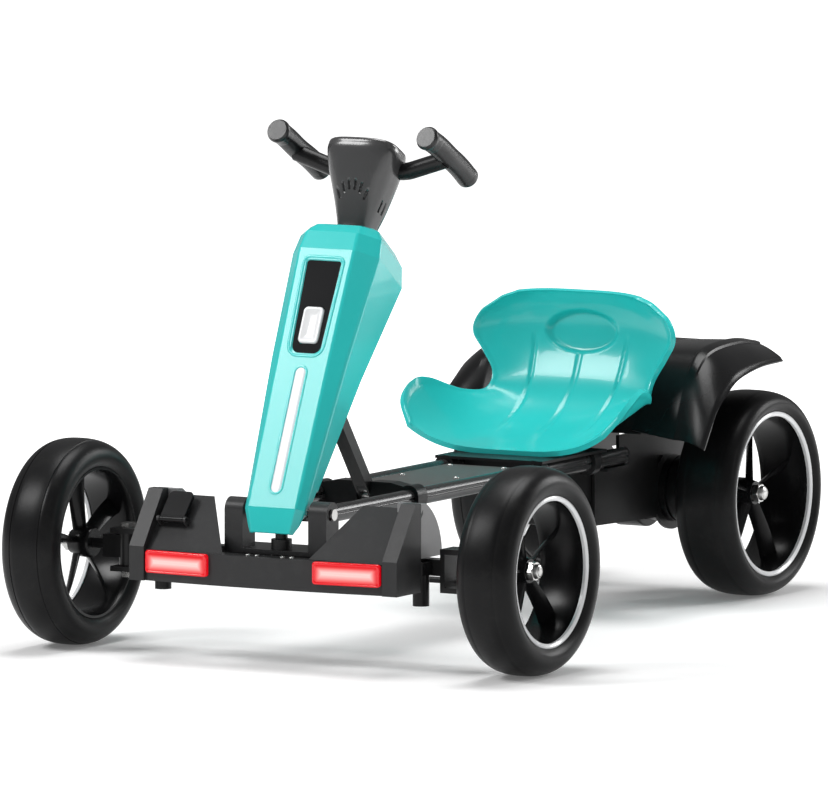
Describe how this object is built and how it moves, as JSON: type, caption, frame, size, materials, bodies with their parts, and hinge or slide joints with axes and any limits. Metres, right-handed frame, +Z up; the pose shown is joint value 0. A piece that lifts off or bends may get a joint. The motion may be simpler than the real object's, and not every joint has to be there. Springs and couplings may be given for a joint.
{
  "type": "ride-on go-kart",
  "caption": "Small child's electric ride-on go-kart: folding steering column, scoop seat sliding on two rails, wide-set steered front wheels, narrow driven rear wheels.",
  "frame": {"origin": "on the floor under the middle of the kart's box", "axes": "+X to the driver's left, -Y forwards, +Z up"},
  "size_m": [0.56, 0.874, 0.5093],
  "materials": {
    "tyre": "satin",
    "rim": "gloss",
    "ring": "gloss",
    "steel": "satin",
    "black_metal": "gloss",
    "rail": "anodised black",
    "grey_plastic": "matte",
    "black_plastic": "satin",
    "teal": "gloss",
    "black_gloss": "gloss",
    "lamp_red": "gloss",
    "diffuser": "satin",
    "grip": "matte",
    "battery": "matte"
  },
  "bodies": {
    "chassis": {"battery": "battery", "battery_box": "black_plastic", "battery_lid": "black_plastic", "cowl": "black_plastic", "drive_barrels": "black_plastic", "fenders": "black_gloss", "floor_plate": "grey_plastic", "footrests": "grey_plastic", "front_beam": "black_metal", "gear_case": "black_plastic", "hinge_bracket": "grey_plastic", "hinge_pins": "steel", "kingpin_bolts": "steel", "kingpin_nuts": "steel", "lamps": "lamp_red", "nose_shell": "grey_plastic", "rail_caps": "black_plastic", "rails": "rail", "rear_axle": "steel", "rear_nuts": "steel", "saddle": "black_plastic", "sled": "black_metal", "stand_pegs": "black_plastic", "yokes": "black_metal"},
    "column": {"column_front": "teal", "column_rear": "teal", "column_window": "black_gloss", "light_strip": "diffuser", "post": "black_metal", "shaft_bearings": "black_plastic"},
    "rocker": {"power_rocker": "ring"},
    "steering": {"steering_shaft": "steel", "steering_head": "black_gloss", "handlebar": "black_metal", "grips": "grip"},
    "pitman": {"pitman": "black_metal"},
    "tie_rod": {"tie_rod": "black_metal"},
    "knuckle_left": {"knuckle_left": "black_metal", "front_nut_left": "steel"},
    "knuckle_right": {"knuckle_right": "black_metal", "front_nut_right": "steel"},
    "strut": {"strut": "black_metal"},
    "seat": {"seat_shell": "teal", "seat_base": "black_plastic", "seat_lugs": "teal"},
    "accelerator": {"accelerator": "black_plastic"},
    "wheel_front_left": {"tyre_front_left": "tyre", "rim_front_left": "rim", "ring_front_left": "ring"},
    "wheel_front_right": {"tyre_front_right": "tyre", "rim_front_right": "rim", "ring_front_right": "ring"},
    "wheel_rear_left": {"tyre_rear_left": "tyre", "rim_rear_left": "rim", "ring_rear_left": "ring"},
    "wheel_rear_right": {"tyre_rear_right": "tyre", "rim_rear_right": "rim", "ring_rear_right": "ring"}
  },
  "joints": [
    {"name": "column_fold", "type": "hinge", "parent": "chassis", "child": "column", "pos_m": [0, -0.372, 0.146], "axis": [-1, 0, 0], "range_deg": [0, 30]},
    {"name": "strut_swing", "type": "hinge", "parent": "chassis", "child": "strut", "pos_m": [0, -0.205, 0.146], "axis": [-1, 0, 0], "range_deg": [0, 60]},
    {"name": "steering_turn", "type": "hinge", "parent": "column", "child": "steering", "pos_m": [0, -0.372, 0.146], "axis": [0, 0.4879, 0.8729], "range_deg": [-28, 28]},
    {"name": "pitman_turn", "type": "hinge", "parent": "chassis", "child": "pitman", "pos_m": [0, -0.372, 0.146], "axis": [0, 0, 1], "range_deg": [-28, 28]},
    {"name": "tie_rod_slide", "type": "slide", "parent": "chassis", "child": "tie_rod", "axis": [-1, 0, 0], "range_m": [-0.01466, 0.01466]},
    {"name": "knuckle_left_turn", "type": "hinge", "parent": "chassis", "child": "knuckle_left", "pos_m": [0.19, -0.337, 0.1], "axis": [0, 0, 1], "range_deg": [-28, 28]},
    {"name": "knuckle_right_turn", "type": "hinge", "parent": "chassis", "child": "knuckle_right", "pos_m": [-0.19, -0.337, 0.1], "axis": [0, 0, 1], "range_deg": [-28, 28]},
    {"name": "wheel_front_left_spin", "type": "hinge", "parent": "knuckle_left", "child": "wheel_front_left", "pos_m": [0.25, -0.337, 0.1], "axis": [1, 0, 0], "continuous": true},
    {"name": "wheel_front_right_spin", "type": "hinge", "parent": "knuckle_right", "child": "wheel_front_right", "pos_m": [-0.25, -0.337, 0.1], "axis": [1, 0, 0], "continuous": true},
    {"name": "wheel_rear_left_spin", "type": "hinge", "parent": "chassis", "child": "wheel_rear_left", "pos_m": [0.127, 0.335, 0.102], "axis": [1, 0, 0], "continuous": true},
    {"name": "wheel_rear_right_spin", "type": "hinge", "parent": "chassis", "child": "wheel_rear_right", "pos_m": [-0.127, 0.335, 0.102], "axis": [1, 0, 0], "continuous": true},
    {"name": "seat_slide", "type": "slide", "parent": "chassis", "child": "seat", "axis": [0, -1, 0], "range_m": [0, 0.035]},
    {"name": "accelerator_press", "type": "hinge", "parent": "chassis", "child": "accelerator", "pos_m": [-0.112, -0.38709, 0.13399], "axis": [-1, 0, 0], "range_deg": [0, 6], "stiffness_Nm_per_rad": 2},
    {"name": "rocker_tilt", "type": "hinge", "parent": "column", "child": "rocker", "pos_m": [0, -0.3137, 0.31933], "axis": [1, 0, 0], "range_deg": [-3, 3]}
  ],
  "couplings": [
    {"joint": "strut_swing", "follows": "column_fold", "ratio": 2},
    {"joint": "pitman_turn", "follows": "steering_turn", "ratio": 1},
    {"joint": "tie_rod_slide", "follows": "steering_turn", "m_per_rad": 0.03},
    {"joint": "knuckle_left_turn", "follows": "steering_turn", "ratio": 1},
    {"joint": "knuckle_right_turn", "follows": "steering_turn", "ratio": 1}
  ]
}
